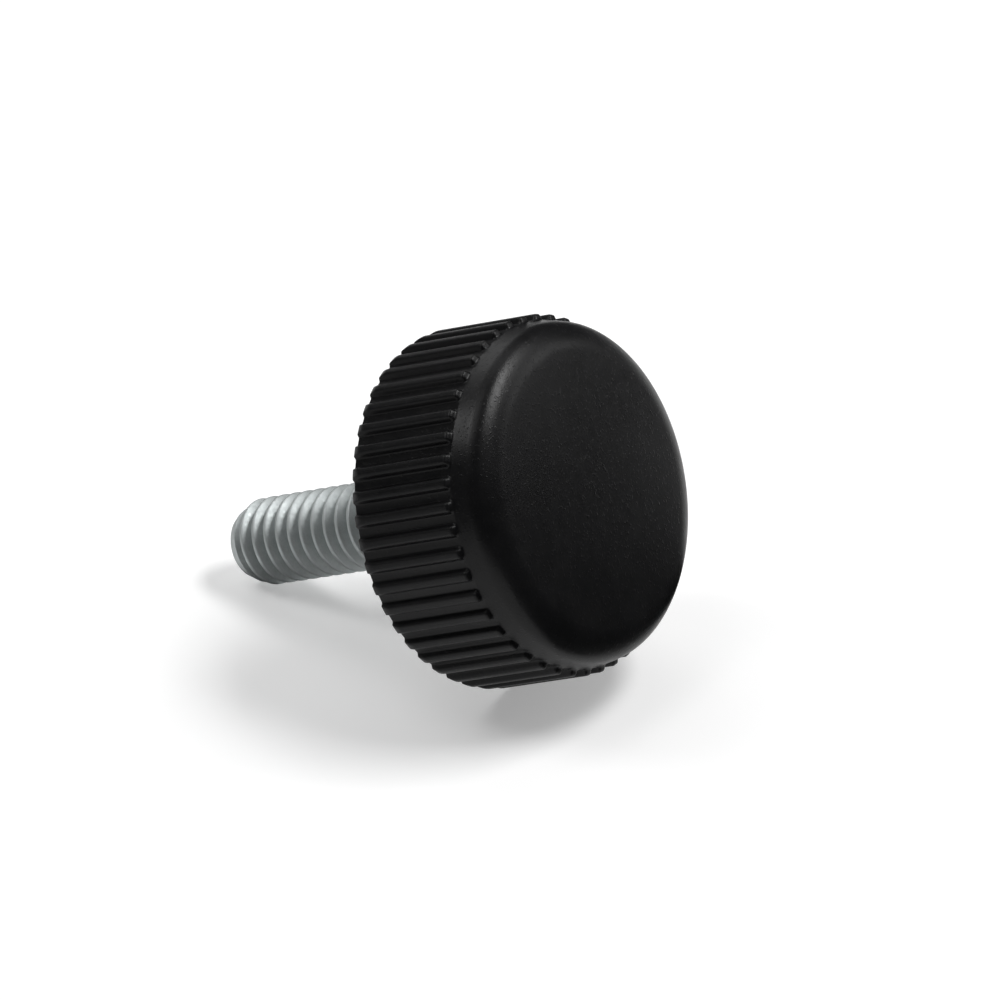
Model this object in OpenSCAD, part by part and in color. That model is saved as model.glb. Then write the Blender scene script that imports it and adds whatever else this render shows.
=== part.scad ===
// Knurled knob with a threaded stud, lying on two ribs of its rim and on the end of its stud.
// Each piece is drawn on the knob's own axis, crown up, with z = 0 at the back of the rim,
// and lie_down() then lays it on the ground. The thread itself isn't cut: the stud is plain
// at the thread's outside diameter.

/* [Head] */
// Diameter over the ribs, at the back of the rim
head_d = 31.75; // [31:0.25:33]
// Height from the back of the rim to the top of the crown
head_h = 14.3; // [13.8:0.1:18]
// Diameter of the smooth collar in front of the ribs
collar_d = 29.7; // [28.5:0.1:30.2]
// Radius of the rounded shoulder between the collar and the crown
shoulder_r = 1.9; // [1:0.1:2.8]
// Radius of the crown's shallow dome
crown_r = 105; // [60:5:200]
// Draft of the rim's outside towards the collar, ribs and root alike, in degrees
rim_draft = 0.8; // [0.2:0.1:1.2]

/* [Ribs] */
// Number of ribs round the rim
rib_count = 48; // [36:1:54]
// Length of a rib from the back of the rim to its front end
rib_len = 10.6; // [7:0.1:11]
// Width of a rib across its crest
rib_crest = 0.75; // [0.55:0.05:0.9]
// Lean of a rib's flanks away from the radius, in degrees
rib_flank = 16; // [8:1:18]
// Radius of the long edges of a rib's crest
rib_round = 0.2; // [0.1:0.05:0.25]
// Length over which the back end of a rib slopes up to its crest
rib_rear = 0.7; // [0.4:0.1:1.2]
// Length over which the front end of a rib falls to the collar
rib_front = 0.25; // [0.1:0.05:0.6]

/* [Underside] */
// Thickness of the rim, from the collar's radius to the hollow
rim_wall = 2.8; // [2:0.1:3.5]
// Diameter of the hub round the stud
hub_d = 16.5; // [15:0.5:18]
// Height by which the hub stands out of the back of the rim
hub_proud = 0.3; // [0.1:0.1:1]
// Depth of the hollow between the rim and the hub
core_depth = 10.2; // [6:0.1:10.6]
// Draft of the walls of the hollow, in degrees
core_draft = 1; // [0.5:0.25:2]
// Number of webs between the hub and the rim
web_count = 6; // [3:1:8]
// Thickness of a web
web_t = 1.4; // [1:0.1:2]
// Depth of a web's edge below the back of the rim
web_drop = 1.2; // [0.5:0.1:3]
// Chamfer of the edges of the rim and the hub
edge_chamfer = 0.3; // [0.1:0.05:0.5]

/* [Stud] */
// Outside diameter of the thread
stud_d = 7.9; // [7.4:0.1:8.5]
// Length of the stud from the hub's face to its tip
stud_len = 25.4; // [16:0.1:50]
// Diameter of the flat end of the tip
tip_d = 6.4; // [4:0.1:6.8]
// Length of the tip's chamfer
tip_chamfer = 1.5; // [0.8:0.1:3]
// Diameter of the plain shank inside the hub
shank_d = 7; // [5.5:0.1:7.2]
// Length over which the thread runs out to the shank
runout_len = 0.5; // [0.3:0.1:1]
// Width across the flats of the hexagonal anchor in the hub
anchor_af = 10; // [9:0.5:11]
// Thickness of the anchor
anchor_t = 4.5; // [3:0.1:6]
// Height of the anchor above the back of the rim
anchor_z = 3.6; // [2:0.1:4.5]
// Gap between the moulding and the stud
mould_gap = 0.02; // [0.01:0.01:0.1]

/* [Hidden] */
$fn = 96;

// Overlap of parts of one solid, so that they join
join = 0.5;
// Reach of a cutting shape past the surface that it cuts
past = 1;

head_r = head_d / 2;
collar_r = collar_d / 2;
stud_r = stud_d / 2;
shank_r = shank_d / 2;
root_r = collar_r + rib_len * tan(rim_draft);
rib_pitch = 360 / rib_count;

// The shoulder's arc touches the collar's wall and, from inside, the dome
dome_z = head_h - crown_r;
shoulder_x = collar_r - shoulder_r;
shoulder_z = dome_z + sqrt(pow(crown_r - shoulder_r, 2) - pow(shoulder_x, 2));
crown_x = shoulder_x * crown_r / (crown_r - shoulder_r);

// Crest of a rib: its radius where the front end starts to fall, and its rounded edges
rib_fall_z = rib_len - rib_front;
rib_fall_r = head_r - (rib_fall_z - rib_rear) * tan(rim_draft);
crest_x = head_r - rib_round;
crest_y = rib_crest / 2 + rib_round * (tan(rib_flank) - 1 / cos(rib_flank));

// Underside
rim_in_r = collar_r - rim_wall;
hub_r = hub_d / 2;
anchor_r = anchor_af / 2 / cos(30);
stud_end = hub_proud + stud_len;

// At rest the crests of two ribs and the end of the stud's straight part touch the ground
crest_half_angle = asin(crest_y / head_r);
rest_r = head_r * cos(rib_pitch / 2 - crest_half_angle);
rest_reach = rib_rear + stud_end - tip_chamfer;
lean = atan2(rest_r - stud_r, rest_reach);
lift = rest_r * cos(lean) - rib_rear * sin(lean);

// Ends of the knob along the ground: the rounded shoulder and the edge of the tip
reach_front = shoulder_z * cos(lean) + shoulder_x * sin(lean) + shoulder_r;
reach_back = -stud_end * cos(lean) - tip_d / 2 * sin(lean);
mid_x = (reach_front + reach_back) / 2;

// Lays what was drawn along Z on the ground, with the crown towards +X and two ribs down
module lie_down() {
    translate([-mid_x, 0, lift])
        rotate([0, 90 - lean, 0])
            rotate([0, 0, rib_pitch / 2])
                children();
}

// Half section of the head without ribs and hollow: wall, rounded shoulder and domed crown
module body_section() {
    polygon([
        [0, 0],
        [root_r - edge_chamfer, 0],
        [root_r - edge_chamfer * tan(rim_draft), edge_chamfer],
        [collar_r, rib_len],
        [collar_r, shoulder_z],
        [shoulder_x, shoulder_z],
        [0, shoulder_z]
    ]);
    intersection() {
        translate([shoulder_x, shoulder_z])
            circle(r = shoulder_r);
        translate([shoulder_x, shoulder_z])
            square(shoulder_r);
    }
    intersection() {
        translate([0, dome_z])
            circle(r = crown_r, $fn = 720);
        translate([0, shoulder_z])
            square([crown_x, head_h]);
    }
}

// Cross-section of one rib, which points along +X, with rounded edges on its crest
module rib_section() {
    flat_x = crest_x + rib_round * sin(rib_flank);
    flat_y = crest_y + rib_round * cos(rib_flank);
    foot_x = collar_r - join;
    foot_y = rib_crest / 2 + (head_r - foot_x) * tan(rib_flank);
    polygon([
        [foot_x, -foot_y],
        [flat_x, -flat_y],
        [head_r, -crest_y],
        [head_r, crest_y],
        [flat_x, flat_y],
        [foot_x, foot_y]
    ]);
    for (side = [-1, 1])
        translate([crest_x, side * crest_y])
            circle(r = rib_round, $fn = 24);
}

// Side view of the ribs as a half section: sloped back end, drafted crest and front end
module rib_side() {
    polygon([
        [collar_r - join, 0],
        [root_r, 0],
        [head_r, rib_rear],
        [rib_fall_r, rib_fall_z],
        [collar_r, rib_len],
        [collar_r - join, rib_len]
    ]);
}

module ribs() {
    intersection() {
        rotate_extrude()
            rib_side();
        linear_extrude(height = rib_len)
            for (i = [0 : rib_count - 1])
                rotate(i * rib_pitch)
                    rib_section();
    }
}

// Half section of the hollow, which narrows with depth
module core_section() {
    shrink = core_depth * tan(core_draft);
    polygon([
        [hub_r - past * tan(core_draft), -past],
        [rim_in_r + past * tan(core_draft), -past],
        [rim_in_r - shrink, core_depth],
        [hub_r + shrink, core_depth]
    ]);
}

module webs() {
    for (i = [0 : web_count - 1])
        rotate(i * 360 / web_count)
            translate([0, -web_t / 2, web_drop])
                cube([rim_in_r + join, web_t, core_depth - web_drop + join]);
}

// The hollow, with the webs left standing in it
module core() {
    difference() {
        rotate_extrude()
            core_section();
        webs();
    }
}

// Half section of the hub's end, which stands out of the back of the rim
module hub_end_section() {
    polygon([
        [0, -hub_proud],
        [hub_r - edge_chamfer, -hub_proud],
        [hub_r, edge_chamfer - hub_proud],
        [hub_r, join],
        [0, join]
    ]);
}

// Half section of the thread and the shank, grown by a gap where they leave room for others
module stud_section(gap = 0) {
    polygon([
        [0, -stud_end],
        [tip_d / 2 + gap, -stud_end],
        [stud_r + gap, tip_chamfer - stud_end],
        [stud_r + gap, -hub_proud],
        [shank_r + gap, runout_len - hub_proud],
        [shank_r + gap, anchor_z + join],
        [0, anchor_z + join]
    ]);
}

// The hexagonal anchor on the end of the shank, grown by a gap in the same way
module anchor(gap = 0) {
    translate([0, 0, anchor_z - gap])
        cylinder(r = anchor_r + gap / cos(30), h = anchor_t + 2 * gap, $fn = 6);
}

module knob_head() {
    color("#1c1c1d")
        lie_down()
            difference() {
                union() {
                    difference() {
                        union() {
                            rotate_extrude()
                                body_section();
                            ribs();
                        }
                        core();
                    }
                    rotate_extrude()
                        hub_end_section();
                }
                rotate_extrude()
                    stud_section(mould_gap);
                anchor(mould_gap);
            }
}

module threaded_stud() {
    color("#a6abab")
        lie_down()
            union() {
                rotate_extrude()
                    stud_section();
                anchor();
            }
}

knob_head();
threaded_stud();
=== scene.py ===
"""Looks, studio and camera of a knurled knob with a threaded stud.

The CAD frame gives both pieces where they lie: the ribbed plastic head on two of its ribs,
and the stud on its end. Each piece is built here again as one closed surface, finer than its
solid: the ribs with their rounded edges and ends, the grained crown, the cored underside
with its webs, and the helical thread. Sizes are in millimetres along the knob's own axis,
crown up, with z = 0 at the back of the rim, until Placement lays the points down.
"""
import logging
import math
from dataclasses import dataclass, field
from enum import Enum
from typing import Any, Sequence

import bmesh
import bpy
import numpy as np
from mathutils import Matrix, Vector


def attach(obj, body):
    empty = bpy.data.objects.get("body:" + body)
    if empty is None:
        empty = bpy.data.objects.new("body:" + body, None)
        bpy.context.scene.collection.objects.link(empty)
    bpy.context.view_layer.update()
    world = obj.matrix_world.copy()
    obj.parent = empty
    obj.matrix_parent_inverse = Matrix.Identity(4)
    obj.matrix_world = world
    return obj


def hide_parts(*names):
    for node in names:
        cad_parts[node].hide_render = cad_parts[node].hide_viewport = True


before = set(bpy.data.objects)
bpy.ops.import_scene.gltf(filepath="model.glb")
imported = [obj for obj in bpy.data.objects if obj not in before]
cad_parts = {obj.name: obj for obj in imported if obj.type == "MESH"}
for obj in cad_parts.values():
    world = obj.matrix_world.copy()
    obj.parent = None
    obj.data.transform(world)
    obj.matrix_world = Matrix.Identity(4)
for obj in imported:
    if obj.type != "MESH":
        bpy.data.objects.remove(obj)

log = logging.getLogger("knob")
Socket = bpy.types.NodeSocket

MM = 0.001
# Points closer than this are one, and edges shorter than the second length go, in metres
MERGE = 2e-7
TOO_SHORT = 1e-8
# Angle from one corner of a hexagon to the next, in radians
SIXTH = math.pi / 3
# Range that holds most of a noise's values
MOST = (0.3, 0.7)


class Slot(str, Enum):
    """Material slots of the record."""

    PLASTIC = "black_plastic"
    STEEL = "plated_steel"


class Node(str, Enum):
    """CAD nodes that the pieces stand for."""

    HEAD = "knob_head"
    STUD = "threaded_stud"


# ---- Placement and mesh helpers --------------------------


@dataclass(frozen=True)
class Placement:
    """How the knob lies: its axis leans down towards the tip of the stud."""

    lean: float = 25.5513918  # angle of the axis to the ground, in degrees
    mid_x: float = -3.31528  # middle of the knob's reach along the ground, in mm
    lift: float = 14.00163  # height of the rim's centre above the ground, in mm

    @property
    def tilt(self) -> float:
        """Turn about Y that lays the knob down, in radians."""
        return math.radians(90.0 - self.lean)

    def lay(self, points: np.ndarray) -> np.ndarray:
        """Lays points of the knob's own frame on the ground.

        Args:
            points: array (..., 3) in mm.

        Returns:
            Array (..., 3) in metres.
        """
        c, s = math.cos(self.tilt), math.sin(self.tilt)
        x, y, z = points[..., 0], points[..., 1], points[..., 2]
        laid = np.stack([x * c + z * s - self.mid_x, y, z * c - x * s + self.lift], axis=-1)
        return laid * MM


PLACE = Placement()


def polar(radius: np.ndarray, angle: np.ndarray, height: np.ndarray) -> np.ndarray:
    """Points (r cos a, r sin a, z) from arrays that broadcast together.

    Args:
        radius: distance from the axis.
        angle: angle about the axis, in radians.
        height: place along the axis, in the radius's unit.

    Returns:
        Array (..., 3) in that unit.
    """
    r, a, z = np.broadcast_arrays(radius, angle, height)
    return np.stack([r * np.cos(a), r * np.sin(a), z], axis=-1)


def arc(radius: float, start: float, end: float, count: int) -> tuple[np.ndarray, np.ndarray]:
    """Offsets (r sin t, r (1 - cos t)) of an arc that starts along its tangent.

    Args:
        radius: radius of the arc, in mm.
        start: first angle t, in radians.
        end: last angle t, in radians.
        count: number of samples, both ends included.

    Returns:
        The offsets along and across the tangent.
    """
    t = np.linspace(start, end, count)
    return radius * np.sin(t), radius * (1.0 - np.cos(t))


def soft_min(a: np.ndarray, b: np.ndarray, width: float) -> np.ndarray:
    """The lesser of a and b, rounded where they differ by less than width.

    The rounding takes (width - |a - b|)^2 / (4 width) away from the lesser of the two.

    Args:
        a: first values, in mm.
        b: second values, in mm.
        width: difference below which the rounding starts, in mm.

    Returns:
        The rounded minimum, in mm.
    """
    blend = np.maximum(width - np.abs(a - b), 0.0)
    return np.minimum(a, b) - blend * blend / (4.0 * width)


def edge_drop(depth: np.ndarray, radius: float) -> np.ndarray:
    """How far a rounded edge lies inside its wall: r - sqrt(r^2 - (r - depth)^2).

    Args:
        depth: distance from the face that the edge ends at, in mm.
        radius: radius of the rounding, in mm.

    Returns:
        The distance from the wall in mm, 0 where the depth is past the rounding.
    """
    inside = np.clip(radius - depth, 0.0, radius)
    return radius - np.sqrt(radius ** 2 - inside ** 2)


def hexagon_radius(across_flats: float, angle: np.ndarray) -> np.ndarray:
    """Distance from the axis to a hexagon's side, af / (2 cos a) about each flat's middle.

    Args:
        across_flats: width over two flats, in mm.
        angle: angle from the middle of a flat, in radians.

    Returns:
        Distances in mm.
    """
    return across_flats / 2 / np.cos((angle + SIXTH / 2) % SIXTH - SIXTH / 2)


def link(name: str, data: bpy.types.ID) -> bpy.types.Object:
    """Makes an object of its data and links it to the scene."""
    made = bpy.data.objects.new(name, data)
    bpy.context.scene.collection.objects.link(made)
    return made


def even_angles(count: int) -> np.ndarray:
    """Angles of count columns spread evenly about the axis, in radians."""
    return np.arange(count) * 2 * math.pi / count


def tube_faces(rows: int, cols: int, seam_shift: int = 0) -> np.ndarray:
    """Quads of a grid that closes round on itself along its columns.

    Args:
        rows: number of rows.
        cols: number of columns round the axis.
        seam_shift: rows by which the last column meets the first one further on.

    Returns:
        Integer array (n, 4) of vertex numbers.
    """
    row, col = np.meshgrid(np.arange(rows - 1), np.arange(cols), indexing="ij")
    nxt = (col + 1) % cols
    ahead = row + np.where(col == cols - 1, seam_shift, 0)
    quads = np.stack([row * cols + col, ahead * cols + nxt,
                      (ahead + 1) * cols + nxt, (row + 1) * cols + col], axis=-1)
    return quads[ahead + 1 < rows]


def skin(name: str, points: np.ndarray, faces: np.ndarray, crease: float) -> bpy.types.Object:
    """Makes a closed, smooth-shaded object of a grid, with its doubled points merged.

    Args:
        name: name of the object.
        points: array (..., 3) in metres.
        faces: integer array (n, 4).
        crease: angle above which an edge stays sharp, in degrees.

    Returns:
        The object, linked to the scene.
    """
    mesh = bpy.data.meshes.new(name)
    mesh.from_pydata(points.reshape(-1, 3), [], faces.tolist())
    work = bmesh.new()
    work.from_mesh(mesh)
    bmesh.ops.remove_doubles(work, verts=work.verts, dist=MERGE)
    bmesh.ops.dissolve_degenerate(work, edges=work.edges, dist=TOO_SHORT)
    bmesh.ops.recalc_face_normals(work, faces=work.faces)
    if work.calc_volume(signed=True) < 0.0:
        bmesh.ops.reverse_faces(work, faces=work.faces)
    open_edges = sum(1 for edge in work.edges if not edge.is_manifold)
    log.info("%s: %d faces, %d open edges", name, len(work.faces), open_edges)
    work.to_mesh(mesh)
    work.free()
    mesh.shade_smooth()
    mesh.set_sharp_from_angle(angle=math.radians(crease))
    return link(name, mesh)


# ---- Head ------------------------------------------------


@dataclass(frozen=True)
class Head:
    """Moulded head: domed crown, rounded shoulder, collar, ribbed rim and cored underside.

    Lengths are in mm and angles in degrees.
    """

    head_d: float = 31.62  # diameter over the ribs
    collar_d: float = 30.2  # diameter of the collar where the ribs end
    collar_taper: float = 12.0  # angle at which the collar narrows towards the shoulder
    collar_foot: float = 0.35  # distance of the collar's last row from the ribs' front ends
    shoulder_r: float = 1.9  # radius of the shoulder's arc
    shoulder_x: float = 12.95  # distance of that arc's centre from the axis
    shoulder_z: float = 11.583  # height of that arc's centre
    blend_r: float = 3.9  # radius of the wider arc between shoulder and dome
    blend_turn: float = 39.0  # angle of the normal where the two arcs meet
    crown_r: float = 150.0  # radius of the dome
    # Points of the dome, the wider arc and the shoulder
    crown_samples: tuple[int, int, int] = (12, 9, 11)
    crown_gather: float = 0.8  # power below 1 that gathers the dome's rows at its edge
    rim_draft: float = 0.8  # angle at which the grooves' floor widens towards the back
    rib_count: int = 48  # number of ribs
    rib_len: float = 10.6  # distance from the back of the rim to the ribs' front ends
    rib_crest: float = 0.76  # width of a rib's crest before its edges are rounded
    rib_flank: float = 19.0  # angle of the flanks to the rib's middle plane
    rib_round: float = 0.3  # radius of the crest's edges
    rib_root: float = 0.2  # radius of the fillet at the foot
    rib_corner: float = 0.36  # radius of the front end's corners, seen from outside
    rib_rear: float = 0.85  # length of the sloped rear end
    rib_rear_foot: float = 0.22  # height of the rib at the back of the rim
    rear_blend: float = 0.16  # width over which the slope rounds into the crest
    back_round: float = 0.15  # radius of the back face's outer edge
    back_samples: int = 6  # points of that edge
    rim_wall: float = 3.05  # thickness of the rim inside the collar's radius
    hub_d: float = 16.5  # diameter of the hub
    hub_proud: float = 0.3  # how far the hub stands out of the back of the rim
    core_depth: float = 10.2  # depth of the hollow
    core_draft: float = 1.0  # angle of the hollow's walls to the axis
    core_fillet: float = 0.5  # radius at the hollow's floor
    web_count: int = 6  # number of webs between rim and hub
    web_t: float = 1.4  # thickness of a web
    web_drop: float = 1.2  # depth of the webs' edges below the back of the rim
    web_round: float = 0.2  # radius of the webs' edges
    # Places of the columns on a web's flat, as shares of its half
    web_shares: tuple[float, ...] = (0.0, 0.45, 0.85)
    web_side: float = 3.5  # depth of the row on a web's side, below its edge
    edge_round: float = 0.3  # radius of the hollow's and the hub's edges
    edge_samples: int = 5  # points of each rounding of the hollow, the hub and the webs
    bore_d: float = 7.94  # room for the thread at the hub's face
    # Width and depth of the bevel at the bore's mouth
    bore_bevel: tuple[float, float] = (0.08, 0.06)
    shank_bore_d: float = 7.04  # room for the shank
    runout_len: float = 0.5  # length over which the bore narrows to it
    cavity_af: float = 10.04  # room for the anchor, across flats
    cavity_z: tuple[float, float] = (3.58, 8.12)  # heights between which it lies
    arc_samples: int = 8  # points of each rounding in the rib's curve
    arc_columns: int = 4  # columns on each rounding of a rib
    front_reach: float = 0.56  # length that the closest rows cover at the ribs' front ends
    front_rows: int = 13  # number of those rows
    # Heights of the rows along the ribs
    middle_rows: tuple[float, ...] = (9.6, 7.8, 5.9, 4.0, 2.3, 1.25)
    # Heights of the rows on the rear ends
    rear_rows: tuple[float, ...] = (1.05, 0.93, 0.83, 0.72, 0.6, 0.47, 0.36, 0.25)
    back_inset: float = 0.9  # distance of the back face's outer row from the grooves' floor
    rim_inset: float = 1.0  # distance of its inner row from the hollow
    hub_rows: tuple[float, ...] = (6.8, 5.2)  # radii of the rows on the hub's face
    hub_even: float = 4.2  # radius inside which the hub's columns are spread evenly
    crease: float = 50.0  # angle above which an edge stays sharp

    @property
    def collar_r(self) -> float:
        """Radius of the collar where the ribs end."""
        return self.collar_d / 2

    @property
    def core_r(self) -> float:
        """Radius of the hollow at the back of the rim."""
        return self.collar_r - self.rim_wall

    @property
    def draft(self) -> float:
        """Widening of the grooves' floor per mm towards the back."""
        return math.tan(math.radians(self.rim_draft))

    @property
    def root_r(self) -> float:
        """Radius of the grooves' floor at the back of the rim."""
        return self.collar_r + self.rib_len * self.draft

    @property
    def rib_h(self) -> float:
        """Height of a rib over the grooves' floor."""
        return self.head_d / 2 - self.root_r + self.rib_rear * self.draft

    @property
    def rib_foot(self) -> float:
        """Distance from a rib's middle to the foot of its flank."""
        return self.rib_crest / 2 + self.rib_h * math.tan(math.radians(self.rib_flank))

    @property
    def rib_turn(self) -> float:
        """Angle through which the roundings at the foot and the crest turn, in radians."""
        return math.pi / 2 - math.radians(self.rib_flank)

    @property
    def half_columns(self) -> int:
        """Columns from a rib's middle to the last one before the groove's middle."""
        return 1 + 2 * self.arc_columns

    @property
    def columns(self) -> int:
        """Columns round the whole head."""
        return 2 * self.half_columns * self.rib_count

    def rib_curve(self) -> tuple[np.ndarray, np.ndarray]:
        """Height of a rib against the distance inside its foot.

        The curve runs along the floor, up a root fillet, along the flank, and over the
        crest's rounded edge. Both roundings are arcs that touch their two lines.

        Returns:
            Distances and heights in mm, distances rising.
        """
        turn, reach = self.rib_turn, math.tan(self.rib_turn / 2)
        low_d, low_h = arc(self.rib_root, 0.0, turn, self.arc_samples)
        top_d, top_h = arc(self.rib_round, turn, 0.0, self.arc_samples)
        full = self.rib_foot - self.rib_crest / 2 + self.rib_round * reach
        dist = np.concatenate([low_d - self.rib_root * reach, full - top_d])
        high = np.concatenate([low_h, self.rib_h - top_h])
        return dist, high

    def rib_columns(self) -> tuple[np.ndarray, np.ndarray]:
        """Offsets and angles of the columns of one rib, from groove to groove.

        Samples lie at the crest's middle and edges, on both roundings and in the groove.

        Returns:
            Offsets from the rib's middle in mm, and angles in radians.
        """
        turn, reach = self.rib_turn, math.tan(self.rib_turn / 2)
        flat = self.rib_crest / 2 - self.rib_round * reach
        top, _ = arc(self.rib_round, 0.0, turn, self.arc_columns)
        low, _ = arc(self.rib_root, turn, 0.0, self.arc_columns)
        foot = self.rib_foot + self.rib_root * reach
        floor = self.root_r * math.sin(math.pi / self.rib_count)
        half = np.concatenate([[0.0], flat + top, foot - low, [floor]])
        dist, high = self.rib_curve()
        high = np.interp(self.rib_foot - half, dist, high, left=0.0, right=self.rib_h)
        angle = np.arcsin(half / (self.root_r + high))
        angle[-1] = math.pi / self.rib_count
        return np.append(-half[-2:0:-1], half), np.append(-angle[-2:0:-1], angle)

    def side_radius(self, height: np.ndarray, offset: np.ndarray) -> np.ndarray:
        """Radius of the rim's side at each height and each column.

        A rib's height follows its flank curve at the distance inside its foot, a rectangle
        with rounded front corners. The sloped back ends and the rounded edge of the back
        face then limit it.

        Args:
            height: column vector of heights in mm.
            offset: row vector of offsets from the rib's middle in mm.

        Returns:
            Radii in mm, one row for each height.
        """
        taper = math.tan(math.radians(self.collar_taper))
        root = (self.collar_r + np.maximum(self.rib_len - height, 0.0) * self.draft
                - np.maximum(height - self.rib_len, 0.0) * taper)
        across = np.abs(offset) - (self.rib_foot - self.rib_corner)
        along = height - (self.rib_len - self.rib_corner)
        outside = np.hypot(np.maximum(across, 0.0), np.maximum(along, 0.0))
        inside = self.rib_corner - outside - np.minimum(np.maximum(across, along), 0.0)
        dist, high = self.rib_curve()
        side = root + np.interp(inside, dist, high, left=0.0, right=self.rib_h)
        rise = height / self.rib_rear * (self.rib_h - self.rib_rear_foot)
        # A quarter of the blend more, because soft_min takes that much where the two meet
        slope = self.root_r + self.rib_rear_foot + rise + self.rear_blend / 4
        return soft_min(side, slope, self.rear_blend) - edge_drop(height, self.back_round)

    def side_heights(self) -> np.ndarray:
        """Heights in mm of the rim's rows from the collar to the back.

        Returns:
            The heights, falling, and closest at the ribs' ends.
        """
        fillet = self.rib_root * math.tan(self.rib_turn / 2)
        front = self.rib_len + fillet - np.linspace(0.0, self.front_reach, self.front_rows)
        turn = np.linspace(0.0, math.pi / 2, self.back_samples)
        edge = self.back_round * (1.0 - np.sin(turn))
        return np.concatenate([front, self.middle_rows, self.rear_rows, edge])

    def crown_rows(self) -> tuple[np.ndarray, np.ndarray]:
        """Radii and heights of the dome, the shoulder and the collar, from the pole.

        Three arcs touch one another: the dome, a wider arc that eases it over, and the
        shoulder. The blend's centre lies on the shoulder's normal at blend_turn. The
        tapered collar touches the shoulder and widens to the ribs' front ends.

        Returns:
            Radii and heights in mm.
        """
        dome_count, ease_count, turn_count = self.crown_samples
        inner, taper = self.shoulder_x, math.radians(self.collar_taper)
        join, gap = math.radians(self.blend_turn), self.blend_r - self.shoulder_r
        blend_x = inner - gap * math.sin(join)
        blend_z = self.shoulder_z - gap * math.cos(join)
        start = math.asin(blend_x / (self.crown_r - self.blend_r))
        dome_z = blend_z - (self.crown_r - self.blend_r) * math.cos(start)
        share = np.linspace(0.0, 1.0, dome_count) ** self.crown_gather
        dome = self.crown_r * math.sin(start) * share
        ease = np.linspace(start, join, ease_count)[1:]
        turn = np.linspace(join, math.pi / 2 - taper, turn_count)[1:]
        collar = self.collar_r - self.collar_foot * math.tan(taper)
        radius = [dome, blend_x + self.blend_r * np.sin(ease),
                  inner + self.shoulder_r * np.sin(turn), [collar]]
        height = [dome_z + np.sqrt(self.crown_r ** 2 - dome ** 2),
                  blend_z + self.blend_r * np.cos(ease),
                  self.shoulder_z + self.shoulder_r * np.cos(turn),
                  [self.rib_len + self.collar_foot]]
        return np.concatenate(radius), np.concatenate(height)

    def core_rows(self) -> tuple[np.ndarray, np.ndarray]:
        """Radii and heights of the back face, the hollow and the hub, from outside in.

        Returns:
            Radii and heights in mm.
        """
        draft = math.tan(math.radians(self.core_draft))
        rim, hub, face = self.core_r, self.hub_d / 2, -self.hub_proud
        deep, fillet, edge = self.core_depth, self.core_fillet, self.edge_round
        out, drop = arc(edge, 0.0, math.pi / 2, self.edge_samples)
        low, rise = arc(fillet, 0.0, math.pi / 2, self.edge_samples)
        rim_low, hub_low = rim - (deep - fillet) * draft, hub + (deep - fillet) * draft
        hub_face = [*self.hub_rows, self.bore_d / 2 + self.bore_bevel[0]]
        rows = [
            ([self.root_r - self.back_inset, rim + self.rim_inset], [0.0, 0.0]),
            (rim + edge - out, drop),
            ([rim - self.web_drop * draft], [self.web_drop]),
            (rim_low - rise, deep - fillet + low),
            ([(rim_low + hub_low) / 2], [deep]),
            (hub_low + rise[::-1], deep - fillet + low[::-1]),
            ([hub + self.web_drop * draft], [self.web_drop]),
            (hub - drop[::-1], face + edge - out[::-1]),
            (hub_face, [face] * len(hub_face)),
        ]
        return np.concatenate([r for r, _ in rows]), np.concatenate([z for _, z in rows])

    def web_columns(self, radius: np.ndarray) -> tuple[np.ndarray, np.ndarray]:
        """Angles of all columns at each radius, gathered at the webs, and the webs' depth.

        The columns nearest a web's middle lie across it at fixed offsets y, at the angles
        asin(y / r), and the others are spread evenly over the rest of the hollow.

        Args:
            radius: column vector of radii in mm.

        Returns:
            Angles in radians, and for each column the height at which its web ends it.
        """
        span = self.columns // self.web_count
        step = (np.arange(self.columns) + span // 2) % span - span // 2
        near = np.abs(step)
        out, drop = arc(self.web_round, 0.0, math.pi / 2, self.edge_samples)
        half = self.web_t / 2
        flat = (half - self.web_round) * np.array(self.web_shares)
        across = np.concatenate([flat, half - self.web_round + out, [half]])
        depth = np.concatenate([np.zeros(len(flat)), drop, [self.web_side]]) + self.web_drop
        nearest = np.minimum(near, len(across) - 1)
        side = np.arcsin(half / radius)
        share = (near - len(across)) / (span / 2 - len(across))
        rest = side + share * (math.pi / self.web_count - side)
        turn = np.where(near < len(across), np.arcsin(across[nearest] / radius), rest)
        centre = (np.arange(self.columns) - step) * 2 * math.pi / self.columns
        limit = np.where(near < len(across), depth[nearest], np.inf)
        return centre + np.sign(step) * turn, limit

    def points(self) -> np.ndarray:
        """The whole head as one grid from the crown's pole round to the cavity's pole.

        Returns:
            Array (rows, columns, 3) in mm.
        """
        offset, rib_angle = self.rib_columns()
        rib, local = np.divmod(np.arange(self.columns) + self.half_columns - 1, len(offset))
        angle = rib * 2 * math.pi / self.rib_count + rib_angle[local]
        even = even_angles(self.columns)

        crown_r, crown_z = (a[:, None] for a in self.crown_rows())
        side_z = self.side_heights()[:, None]
        side_r = self.side_radius(side_z, offset[local][None, :])
        grids = [polar(crown_r, angle, crown_z), polar(side_r, angle, side_z)]

        core_r, core_z = (a[:, None] for a in self.core_rows())
        web_angle, limit = self.web_columns(core_r)
        web_angle = web_angle + 2 * math.pi * np.round((even - web_angle) / (2 * math.pi))
        rim, hub, edge = self.core_r, self.hub_d / 2, self.edge_round
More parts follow.
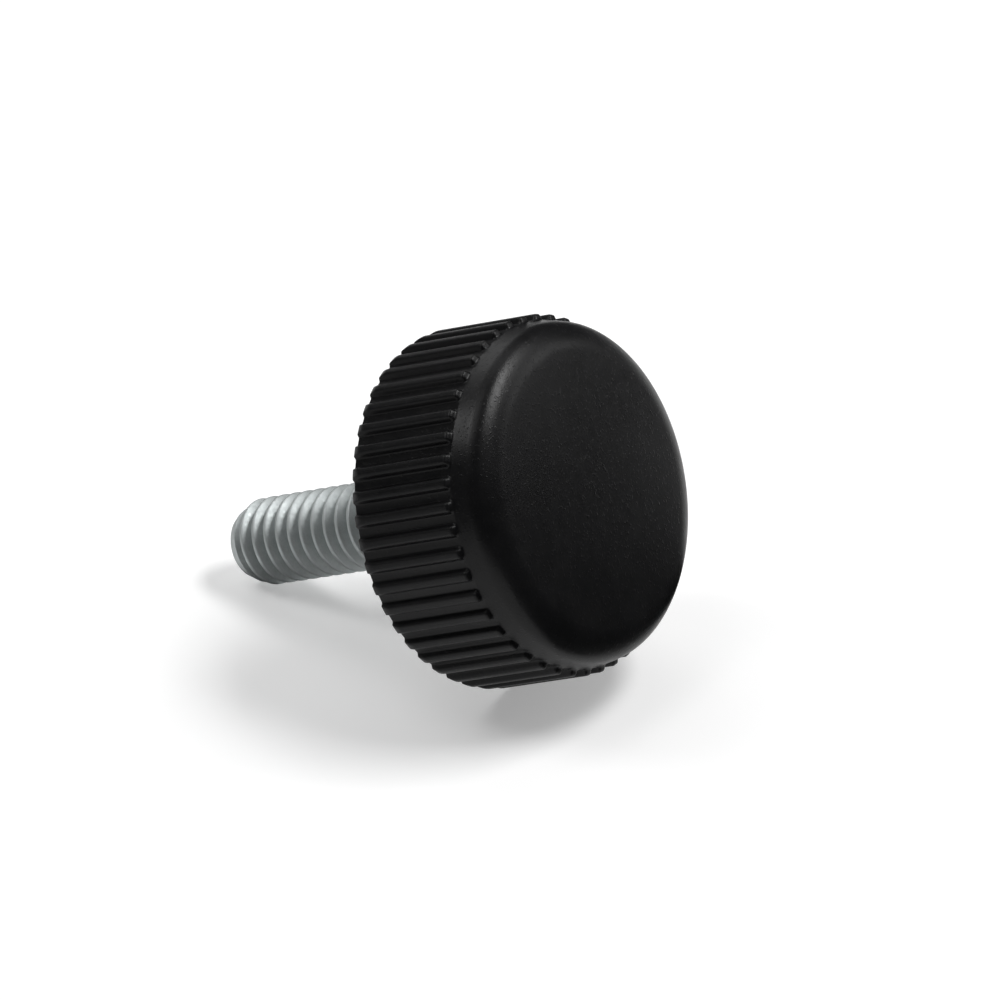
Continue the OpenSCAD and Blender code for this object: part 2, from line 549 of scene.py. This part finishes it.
        # Shares by which the columns follow the ribs on the back face, and lie evenly on the hub
        outer = np.clip((core_r - rim - edge) / (self.root_r - rim - 2 * edge), 0.0, 1.0)
        inner = np.clip((hub - edge - core_r) / (hub - edge - self.hub_even), 0.0, 1.0)
        inner = np.where(core_z < 0.0, inner, 0.0)
        blend = web_angle * (1 - outer - inner) + angle * outer + even * inner
        grids.append(polar(core_r, blend, np.minimum(core_z, limit)))

        hexagon = hexagon_radius(self.cavity_af, even)
        shank, low, high = self.shank_bore_d / 2, *self.cavity_z
        bore = [(self.bore_d / 2, self.bore_bevel[1] - self.hub_proud),
                (shank, self.runout_len - self.hub_proud), (shank, low),
                (hexagon, low), (hexagon, high), (0.0, high)]
        grids += [polar(np.broadcast_to(r, even.shape), even, z)[None] for r, z in bore]
        return np.concatenate(grids)

    def build(self) -> bpy.types.Object:
        """Makes the head's piece, half a rib turned so that two ribs carry it."""
        points = self.points()
        half = math.pi / self.rib_count
        c, s = math.cos(half), math.sin(half)
        x, y, z = points[..., 0], points[..., 1], points[..., 2]
        turned = np.stack([x * c - y * s, x * s + y * c, z], axis=-1)
        return skin("ribbed_head", PLACE.lay(turned), tube_faces(*points.shape[:2]), self.crease)


# ---- Stud ------------------------------------------------


@dataclass(frozen=True)
class Stud:
    """Stud with a rolled right-hand thread, a chamfered tip and a hexagonal anchor.

    Lengths are in mm and angles in degrees.
    """

    major_d: float = 7.9  # diameter over the crests
    minor_d: float = 6.16  # diameter in the roots
    pitch: float = 25.4 / 18  # distance from one crest to the next
    flank: float = 30.0  # angle of the flanks to a plane across the axis
    crest_flat: float = 0.3  # width of a crest before its edges are rounded
    crest_round: float = 0.16  # radius of the crest's edges
    root_round: float = 0.14  # radius in the root
    samples: tuple[int, int] = (4, 5)  # points of the roundings at the crest and in the root
    crest_z: float = -11.94  # height of one crest at crest_angle
    crest_angle: float = -77.04  # angle about the axis where that crest lies
    face_z: float = -0.3  # height of the hub's face
    tip_z: float = -25.7  # height of the tip's face
    tip_d: float = 5.9  # diameter of that face
    tip_chamfer: float = 2.15  # length of the chamfer
    tip_round: float = 0.35  # radius of the tip's edge
    tip_blend: float = 0.06  # width over which the chamfer rounds into the thread
    tip_inset: float = 0.05  # distance of the tip's outer row from its edge
    tip_share: float = 0.6  # place of its inner row, as a share of the edge's radius
    shank_d: float = 7.0  # diameter of the plain shank in the hub
    runout_len: float = 0.5  # length over which the thread narrows to it
    anchor_af: float = 10.0  # width of the anchor across flats
    anchor_z: tuple[float, float] = (3.6, 8.1)  # heights between which it lies
    anchor_turn: float = 3.75  # angle of one of its flats about the axis
    spare_turns: int = 2  # turns of the helix past either end, for the seam
    columns: int = 132  # columns round the stud
    crease: float = 40.0  # angle above which an edge stays sharp

    @property
    def end_z(self) -> float:
        """Height at which the thread has run out to the shank."""
        return self.face_z + self.runout_len

    def thread_curve(self) -> tuple[np.ndarray, np.ndarray]:
        """Radius of the thread against the distance along the axis from its crest.

        Both flanks lean by the flank's angle. Small arcs round the crest's edges and the
        root.

        Returns:
            Distances over half a pitch and radii, in mm.
        """
        lean = math.radians(self.flank)
        turn = math.pi / 2 - lean
        reach = math.tan(turn / 2)
        high, low = self.major_d / 2, self.minor_d / 2
        foot = self.crest_flat / 2 + (high - low) * math.tan(lean)
        top_s, top_h = arc(self.crest_round, 0.0, turn, self.samples[0])
        low_s, low_h = arc(self.root_round, turn, 0.0, self.samples[1])
        along = np.concatenate([[0.0], self.crest_flat / 2 - self.crest_round * reach + top_s,
                                foot + self.root_round * reach - low_s, [self.pitch / 2]])
        radius = np.concatenate([[high], high - top_h, low + low_h, [low]])
        keep = along <= self.pitch / 2
        keep[-1] = True
        return along[keep], radius[keep]

    def crest_line(self, angle: np.ndarray) -> np.ndarray:
        """Height of the right-hand helix of the crest, z0 + pitch (a - a0) / 2 pi."""
        turns = (angle - math.radians(self.crest_angle)) / (2 * math.pi)
        return self.crest_z + self.pitch * turns

    def radius(self, height: np.ndarray, angle: np.ndarray) -> np.ndarray:
        """Radius of the threaded part at a height and an angle.

        The thread's curve repeats along the helix. The tip's cone limits it, and inside
        the hub it runs out to the shank.

        Args:
            height: heights in mm.
            angle: angles about the axis, in radians.

        Returns:
            Radii in mm.
        """
        away = height - self.crest_line(angle) + self.pitch / 2
        away = np.abs(away % self.pitch - self.pitch / 2)
        slope = (self.major_d - self.tip_d) / 2 / self.tip_chamfer
        above = height - self.tip_z
        cone = self.tip_d / 2 + above * slope - edge_drop(above, self.tip_round)
        radius = soft_min(np.interp(away, *self.thread_curve()), cone, self.tip_blend)
        out = np.clip((height - self.face_z) / self.runout_len, 0.0, 1.0)
        return radius * (1 - out) + self.shank_d / 2 * out

    def points(self) -> tuple[np.ndarray, int]:
        """The thread as a helical grid, and the rows by which its seam is shifted.

        Rows follow the crest, the flanks and the root round the helix. Past either end
        they gather on its edge.

        Returns:
            Array (rows, columns, 3) in mm, and the number of rows in one pitch.
        """
        along, _ = self.thread_curve()
        wave = np.concatenate([-along[-2:0:-1], along])
        first = math.floor((self.tip_z - self.crest_z) / self.pitch) - self.spare_turns
        count = math.ceil((self.end_z - self.tip_z) / self.pitch) + 2 * self.spare_turns
        starts = (first + np.arange(count)) * self.pitch
        rows = (starts[:, None] + wave[None, :]).reshape(-1, 1)
        angle = even_angles(self.columns)[None, :]
        height = np.clip(rows + self.crest_line(angle), self.tip_z, self.end_z)
        return polar(self.radius(height, angle), angle, height), len(wave)

    def build(self) -> bpy.types.Object:
        """Makes the stud's piece: thread, tip, shank and anchor in one closed surface."""
        grid, shift = self.points()
        angle = even_angles(self.columns)
        edge, zero = np.hypot(grid[0, :, 0], grid[0, :, 1]), np.zeros(self.columns)
        tip = [(edge - self.tip_inset, self.tip_z), (edge * self.tip_share, self.tip_z),
               (zero, self.tip_z)]
        hexagon = hexagon_radius(self.anchor_af, angle - math.radians(self.anchor_turn))
        low, high = self.anchor_z
        head = [(zero + self.shank_d / 2, low), (hexagon, low), (hexagon, high), (zero, high)]
        tip_grid = np.stack([grid[0]] + [polar(r, angle, z) for r, z in tip])
        head_grid = np.stack([grid[-1]] + [polar(r, angle, z) for r, z in head])
        tip_first = grid.shape[0] * self.columns
        head_first = tip_first + tip_grid.shape[0] * self.columns
        points = np.concatenate([g.reshape(-1, 3) for g in (grid, tip_grid, head_grid)])
        faces = np.concatenate([tube_faces(len(grid), self.columns, shift),
                                tip_first + tube_faces(len(tip_grid), self.columns),
                                head_first + tube_faces(len(head_grid), self.columns)])
        return skin("threaded_rod", PLACE.lay(points), faces, self.crease)


# ---- Finishes --------------------------------------------


def linear(code: str) -> tuple[float, float, float, float]:
    """Turns an sRGB hex code into a linear colour with alpha 1.

    Args:
        code: six hex digits, with or without a leading #.

    Returns:
        Red, green, blue and alpha.
    """
    parts = [int(code.lstrip("#")[i:i + 2], 16) / 255 for i in (0, 2, 4)]
    line = [c / 12.92 if c <= 0.04045 else ((c + 0.055) / 1.055) ** 2.4 for c in parts]
    return (*line, 1.0)


@dataclass
class Graph:
    """A material's node tree, with one short call to add and link a node."""

    made: bpy.types.Material

    @classmethod
    def material(cls, name: str) -> "Graph":
        """Makes the graph of a new, empty material."""
        made = bpy.data.materials.new(name)
        made.use_nodes = True
        made.node_tree.nodes.clear()
        return cls(made)

    def add(self, kind: str, inputs: dict[Any, Any] | None = None,
            **settings: Any) -> bpy.types.Node:
        """Adds a node.

        Args:
            kind: type of the node without its ShaderNode prefix.
            inputs: for a socket's name or number, a value or the socket that feeds it.
            **settings: attributes of the node.

        Returns:
            The node.
        """
        tree = self.made.node_tree
        node = tree.nodes.new("ShaderNode" + kind)
        for key, value in settings.items():
            setattr(node, key, value)
        for key, value in (inputs or {}).items():
            if isinstance(value, Socket):
                tree.links.new(value, node.inputs[key])
            else:
                node.inputs[key].default_value = value
        return node

    def ramp(self, fac: Socket, stops: Sequence[tuple[float, str]]) -> Socket:
        """Colour along a ramp of (place, sRGB hex) stops."""
        node = self.add("ValToRGB", {0: fac})
        points = node.color_ramp.elements
        while len(points) < len(stops):
            points.new(0.5)
        for point, (place, code) in zip(points, stops):
            point.position = place
            point.color = linear(code)
        return node.outputs[0]

    def span(self, fac: Socket, low: float, high: float,
             to_low: float = 0.0, to_high: float = 1.0) -> Socket:
        """Maps a value from one range to another and keeps it inside."""
        node = self.add("MapRange", {0: fac, 1: low, 2: high, 3: to_low, 4: to_high})
        return node.outputs[0]

    def calc(self, operation: str, a: Any, b: Any, clamp: bool = False) -> Socket:
        """Result of a Math node on two values or sockets."""
        return self.add("Math", {0: a, 1: b}, operation=operation, use_clamp=clamp).outputs[0]

    def bump(self, height: Socket, strength: float, distance: float,
             under: Socket | None = None) -> Socket:
        """Normal bumped by a height, over an earlier normal if there is one.

        Args:
            height: socket of the height, from 0 to 1.
            strength: share of the bump that is used.
            distance: height of the bump in metres.
            under: normal that it is added to.

        Returns:
            Socket of the new normal.
        """
        inputs = {"Height": height, "Strength": strength, "Distance": distance}
        if under is not None:
            inputs["Normal"] = under
        return self.add("Bump", inputs).outputs[0]

    def own_frame(self) -> Socket:
        """Object coordinates turned back into the knob's own frame, in mm."""
        coord = self.add("TexCoord").outputs["Object"]
        place = self.add("Mapping", {
            "Vector": coord,
            "Location": (-PLACE.mid_x * MM, 0.0, PLACE.lift * MM),
            "Rotation": (0.0, PLACE.tilt, 0.0),
            "Scale": (MM, MM, MM),
        }, vector_type="TEXTURE")
        return place.outputs[0]

    def from_axis(self, own: Socket) -> Socket:
        """Distance of each point from the knob's axis, in mm."""
        flat = self.add("VectorMath", {0: own, 1: (1.0, 1.0, 0.0)}, operation="MULTIPLY")
        return self.add("VectorMath", {0: flat.outputs[0]}, operation="LENGTH").outputs["Value"]

    def noise(self, vector: Socket, size: float, detail: float = 3.0,
              rough: float = 0.6) -> Socket:
        """Noise whose features are about size across, in the vector's unit."""
        node = self.add("TexNoise", {"Vector": vector, "Scale": 1.0 / size,
                                     "Detail": detail, "Roughness": rough})
        return node.outputs["Fac"]

    def finish(self, shader: Socket) -> bpy.types.Material:
        """Joins the shader to the output and gives the material."""
        self.add("OutputMaterial", {"Surface": shader})
        return self.made


@dataclass(frozen=True)
class MouldedPlastic:
    """Black thermoplastic moulded in a finely spark-eroded tool, satin and grained."""

    name: str = "moulded_black_plastic"
    colour: str = "#0e0e0f"
    pale: str = "#141415"  # tone of the paler flow marks
    pale_stops: tuple[float, float] = (0.3, 0.75)  # places of the two tones in the flow marks
    flow_mm: float = 5.0  # size of the flow marks, which are faint and broad
    flow_deep_mm: float = 0.02  # their height
    flow_share: float = 0.25  # share of that height that shows
    grain_mm: float = 0.25  # size of the grain
    grain_range: tuple[float, float] = (0.6, 0.72)  # part of the noise that makes separate pits
    grain_deep_mm: float = 0.009  # depth of the pits
    patch_mm: float = 1.1  # size of the duller and glossier patches
    roughness: tuple[float, float] = (0.30, 0.38)  # range of the roughness over those patches
    scuff: float = 0.06  # what the scuffed ribs add to it
    # Distances from the axis between which the scuffing sets in
    scuff_from_mm: tuple[float, float] = (15.15, 15.5)
    ior: float = 1.5  # refractive index
    mirror: float = 0.19  # level of the mirror reflection, 0.5 for a polished skin

    def build(self) -> bpy.types.Material:
        """Makes the material: grain from the tool's surface, flow marks, and scuffed ribs."""
        g = Graph.material(self.name)
        own = g.own_frame()
        pits = g.span(g.noise(own, self.grain_mm, detail=1.0, rough=0.5), *self.grain_range)
        flow = g.noise(own, self.flow_mm, rough=0.55)
        tone = g.ramp(flow, list(zip(self.pale_stops, (self.colour, self.pale))))
        # Fingers scuff the ribs a little duller than the crown
        scuff = g.span(g.from_axis(own), *self.scuff_from_mm, 0.0, self.scuff)
        patch = g.span(g.noise(own, self.patch_mm), *MOST, *self.roughness)
        grain = g.bump(pits, 1.0, self.grain_deep_mm * MM)
        # The pits of the grain trap light, so the skin mirrors less than polished plastic
        shader = g.add("BsdfPrincipled", {
            "Base Color": tone,
            "Roughness": g.calc("ADD", patch, scuff),
            "IOR": self.ior,
            "Specular IOR Level": self.mirror,
            "Normal": g.bump(flow, self.flow_share, self.flow_deep_mm * MM, grain),
        })
        return g.finish(shader.outputs[0])


@dataclass(frozen=True)
class PlatedSteel:
    """Carbon steel with a thin bright zinc plating over a rolled thread."""

    name: str = "zinc_plated_steel"
    crest: str = "#c0c5c5"  # tone of the crests, paler as a painted sheen with some rubbed wear
    root: str = "#adb2b2"  # tone of the roots, darker as painted shade
    crest_stop: float = 0.8  # place of the crests' tone on the way from roots to crests
    # Distances from the axis of those two tones
    root_to_crest_mm: tuple[float, float] = (3.1, 3.95)
    stain_mm: float = 0.9  # size of the stains
    stain: float = 0.22  # how far they shift the tone, as a share
    roughness: tuple[float, float] = (0.52, 0.68)  # range of the roughness
    patch_mm: float = 0.35  # size of the duller and glossier patches
    crystal_mm: float = 0.2  # size of the plating's crystals
    crystal_deep_mm: float = 0.022  # their height
    # Scale of the noise of the rolled lines, greatest along the axis
    line_scale: tuple[float, float, float] = (0.6, 0.6, 14.0)
    line_deep_mm: float = 0.01  # their height
    line_share: float = 0.3  # share of that height that shows

    def build(self) -> bpy.types.Material:
        """Makes the material: paler crests, partly rubbed wear and partly a painted sheen, painted
        shade in the roots, and a fine crystal grain.
        """
        g = Graph.material(self.name)
        own = g.own_frame()
        # Tone by distance from the axis: painted shade in the thread's roots, a painted sheen with
        # some rubbed wear on the crests
        depth = g.span(g.from_axis(own), *self.root_to_crest_mm)
        stain = g.span(g.noise(own, self.stain_mm, detail=4.0), *MOST, -self.stain, self.stain)
        tone = g.ramp(g.calc("ADD", depth, stain, clamp=True),
                      [(0.0, self.root), (self.crest_stop, self.crest)])
        patch = g.span(g.noise(own, self.patch_mm), *MOST, *self.roughness)
        # Rolling leaves fine lines round the stud
        drawn = g.add("Mapping", {"Vector": own, "Scale": self.line_scale}).outputs[0]
        lines = g.bump(g.noise(drawn, 1.0), self.line_share, self.line_deep_mm * MM)
        crystals = g.noise(own, self.crystal_mm, detail=2.0)
        shader = g.add("BsdfPrincipled", {
            "Base Color": tone,
            "Metallic": 1.0,
            "Roughness": patch,
            "Normal": g.bump(crystals, 1.0, self.crystal_deep_mm * MM, lines),
        })
        return g.finish(shader.outputs[0])


@dataclass(frozen=True)
class PaleFloor:
    """White seamless paper, which the camera and reflections see a little brighter."""

    name: str = "white_paper"
    colour: str = "#e6e6e6"
    glow_colour: str = "#ffffff"  # colour of what is added for the camera and reflections
    glow: float = 0.33  # its strength
    fibre_m: float = 0.004  # size of the fibres in metres
    fibre_deep_m: float = 0.0001  # their height in metres
    fibre_share: float = 0.05  # share of that height that shows

    def build(self) -> bpy.types.Material:
        """Makes the material: matt paper, lifted by Light Path without more light."""
        g = Graph.material(self.name)
        path = g.add("LightPath").outputs
        seen = g.calc("MAXIMUM", path["Is Camera Ray"], path["Is Glossy Ray"])
        seen = g.calc("MAXIMUM", seen, path["Is Transmission Ray"])
        fibre = g.noise(g.add("TexCoord").outputs["Object"], self.fibre_m, rough=0.5)
        matt = g.add("BsdfDiffuse", {"Color": linear(self.colour),
                                     "Normal": g.bump(fibre, self.fibre_share, self.fibre_deep_m)})
        glow = g.add("Emission", {"Color": linear(self.glow_colour),
                                  "Strength": g.span(seen, 0.0, 1.0, 0.0, self.glow)})
        both = g.add("AddShader", {0: matt.outputs[0], 1: glow.outputs[0]})
        return g.finish(both.outputs[0])


@dataclass(frozen=True)
class ReflectedShade:
    """Finish of a card that only reflections see: painted shade in the knob's reflections, matt
    with a faint felt-like nap.
    """

    name: str
    colour: str
    nap: str  # tone of the nap's tips
    fibre_m: float = 0.002  # size of the fibres in metres

    def build(self) -> bpy.types.Material:
        """Makes the material: matt, with a faint nap."""
        g = Graph.material(self.name)
        fibre = g.noise(g.add("TexCoord").outputs["Object"], self.fibre_m, detail=2.0, rough=0.5)
        tone = g.ramp(fibre, list(zip(MOST, (self.colour, self.nap))))
        return g.finish(g.add("BsdfDiffuse", {"Color": tone}).outputs[0])


# ---- Studio ----------------------------------------------


def heading(azimuth: float, elevation: float) -> Vector:
    """Unit vector towards an azimuth (from +X, counter-clockwise) and elevation in degrees."""
    a, e = math.radians(azimuth), math.radians(elevation)
    return Vector((math.cos(e) * math.cos(a), math.cos(e) * math.sin(a), math.sin(e)))


@dataclass(frozen=True)
class Softbox:
    """Rectangular area lamp aimed at the knob."""

    name: str
    azimuth: float  # from +X, counter-clockwise, in degrees
    elevation: float  # in degrees
    width: float  # along the level, in metres
    height: float  # across it, in metres
    power: float  # in watts
    distance: float = 0.6  # from the knob, in metres

    def build(self, target: Vector) -> bpy.types.Object:
        """Makes the lamp, its width level with the ground."""
        data = bpy.data.lights.new(self.name, "AREA")
        data.shape = "RECTANGLE"
        data.size, data.size_y, data.energy = self.width, self.height, self.power
        lamp = link(self.name, data)
        out = heading(self.azimuth, self.elevation)
        lamp.location = target + out * self.distance
        lamp.rotation_euler = out.to_track_quat("Z", "Y").to_euler()
        return lamp


def sheet(name: str, edge: np.ndarray, material: bpy.types.Material) -> bpy.types.Object:
    """Makes a flat object of the stage from its outline.

    Args:
        name: name of the object.
        edge: array (n, 3) of its corners, in metres.
        material: its finish.

    Returns:
        The object, linked to the scene.
    """
    mesh = bpy.data.meshes.new(name)
    mesh.from_pydata(edge, [], [tuple(range(len(edge)))])
    mesh.materials.append(material)
    made = link(name, mesh)
    return made


@dataclass(frozen=True)
class Card:
    """Card on the floor that only reflections see, painted shade in them: a sector of a ring about
    the origin.
    """

    name: str
    shade_finish: ReflectedShade  # its finish, painted shade
    near: float  # inner radius in metres
    far: float  # outer radius in metres
    azimuths: tuple[float, ...]  # azimuths of its corners in degrees
    height: float = 0.0004  # over the floor, in metres

    def build(self) -> bpy.types.Object:
        """Makes the card, with a corner at each azimuth along both its edges."""
        angle = np.radians(self.azimuths + self.azimuths[::-1])
        count = len(self.azimuths)
        edge = polar(np.repeat([self.near, self.far], count), angle, np.float64(self.height))
        card = sheet(self.name, edge, self.shade_finish.build())
        card.visible_camera = False
        card.visible_diffuse = False
        card.visible_shadow = False
        return card


@dataclass
class Studio:
    """Pale floor, soft lamps, cards of painted shade that only reflections see, and a dim
    surround.
    """

    # Point that the lamps face, in metres
    target: Vector = field(default_factory=lambda: Vector((0.008, 0.0, 0.015)))
    surround: float = 0.04  # strength of its light
    surround_colour: str = "#f4f6f8"  # its colour
    floor_radius: float = 3.0  # in metres
    floor_corners: int = 96  # corners of the floor's outline
    # Name, azimuth, elevation, width, height and power
    lamps: tuple[Softbox, ...] = (
        Softbox("key_high_right", 40.0, 62.0, 0.3, 0.15, 2.15),
        Softbox("right_soft", 50.0, 25.0, 0.26, 0.2, 0.43),
        Softbox("right_high", 52.0, 44.0, 0.3, 0.14, 0.22),
        Softbox("top_back", 125.0, 64.0, 0.3, 0.2, 0.25),
        Softbox("left_back", 145.0, 30.0, 0.3, 0.2, 0.23),
        Softbox("left_back_high", 155.0, 42.0, 0.3, 0.2, 0.24),
        Softbox("left_high", 212.0, 46.0, 0.2, 0.14, 0.62),
        Softbox("top_left", 225.0, 64.0, 0.3, 0.3, 0.5),
    )
    # Cards of painted shade: they darken where the crown's lower right, the lower ribs and the
    # stud's underside reflect the floor
    # Name, finish, inner and outer radius, and azimuths
    cards: tuple[Card, ...] = (
        Card("painted_shade_card_right", ReflectedShade("black_painted_shade", "#0a0a0a", "#101010"),
             0.027, 2.9, (-25.0, 0.0, 28.0, 57.0)),
        Card("painted_shade_card_left", ReflectedShade("grey_painted_shade", "#c6c6c6", "#cccccc"),
             0.027, 0.1, (200.0, 215.0, 230.0, 245.0, 258.0)),
        Card("painted_shade_card_stud", ReflectedShade("dark_grey_painted_shade", "#acacac", "#b2b2b2"),
             0.004, 0.02, (185.0, 200.0, 222.0, 245.0)),
    )

    def build(self) -> None:
        """Makes the floor, the world, the lamps and the cards."""
        self._floor()
        self._world()
        for lamp in self.lamps:
            lamp.build(self.target)
        for card in self.cards:
            card.build()

    def _floor(self) -> None:
        """Makes a round floor at height 0."""
        turn = even_angles(self.floor_corners)
        sheet("floor", polar(np.float64(self.floor_radius), turn, np.float64(0.0)),
              PaleFloor().build())

    def _world(self) -> None:
        """Sets a dim, even surround."""
        world = bpy.data.worlds.new("surround")
        bpy.context.scene.world = world
        world.use_nodes = True
        back = world.node_tree.nodes["Background"]
        back.inputs["Color"].default_value = linear(self.surround_colour)
        back.inputs["Strength"].default_value = self.surround


@dataclass(frozen=True)
class View:
    """Long lens that looks down on the knob from an azimuth of about -57 degrees."""

    place_mm: tuple[float, float, float] = (208.4321, -322.2222, 221.9578)  # place of the camera
    # Direction of the image's right
    right: tuple[float, float, float] = (0.83747338, 0.54554551, 0.03191267)
    # Direction of the image's top
    up: tuple[float, float, float] = (-0.28363777, 0.38401563, 0.87868174)
    lens: float = 180.0  # focal length in mm
    sensor: float = 36.0  # width in mm
    clip: tuple[float, float] = (0.01, 20.0)  # nearest and farthest distance in metres

    def build(self) -> bpy.types.Object:
        """Makes the camera and gives it to the scene."""
        data = bpy.data.cameras.new("camera")
        data.lens, data.sensor_width, data.sensor_fit = self.lens, self.sensor, "HORIZONTAL"
        data.clip_start, data.clip_end = self.clip
        data.dof.use_dof = False
        camera = link("camera", data)
        right, up = Vector(self.right), Vector(self.up)
        turn = Matrix((right, up, right.cross(up))).transposed().to_4x4()
        camera.matrix_world = Matrix.Translation(Vector(self.place_mm) * MM) @ turn
        bpy.context.scene.camera = camera
        return camera


# ---- Assembly --------------------------------------------


def dress(piece: bpy.types.Object, node: Node, material: bpy.types.Material) -> None:
    """Makes a piece stand for its node, with its finish.

    Args:
        piece: the new object.
        node: CAD node that it replaces.
        material: its finish.
    """
    piece.data.materials.append(material)
    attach(piece, "root")
    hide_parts(node.value)


def main() -> None:
    """Builds the pieces, the studio and the camera."""
    logging.basicConfig(level=logging.INFO, format="%(name)s: %(message)s")
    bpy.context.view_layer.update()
    View().build()
    dress(Head().build(), Node.HEAD, MouldedPlastic().build())
    dress(Stud().build(), Node.STUD, PlatedSteel().build())
    Studio().build()
    scene = bpy.context.scene
    scene.view_settings.view_transform = "Standard"


if __name__ == "__main__":
    main()
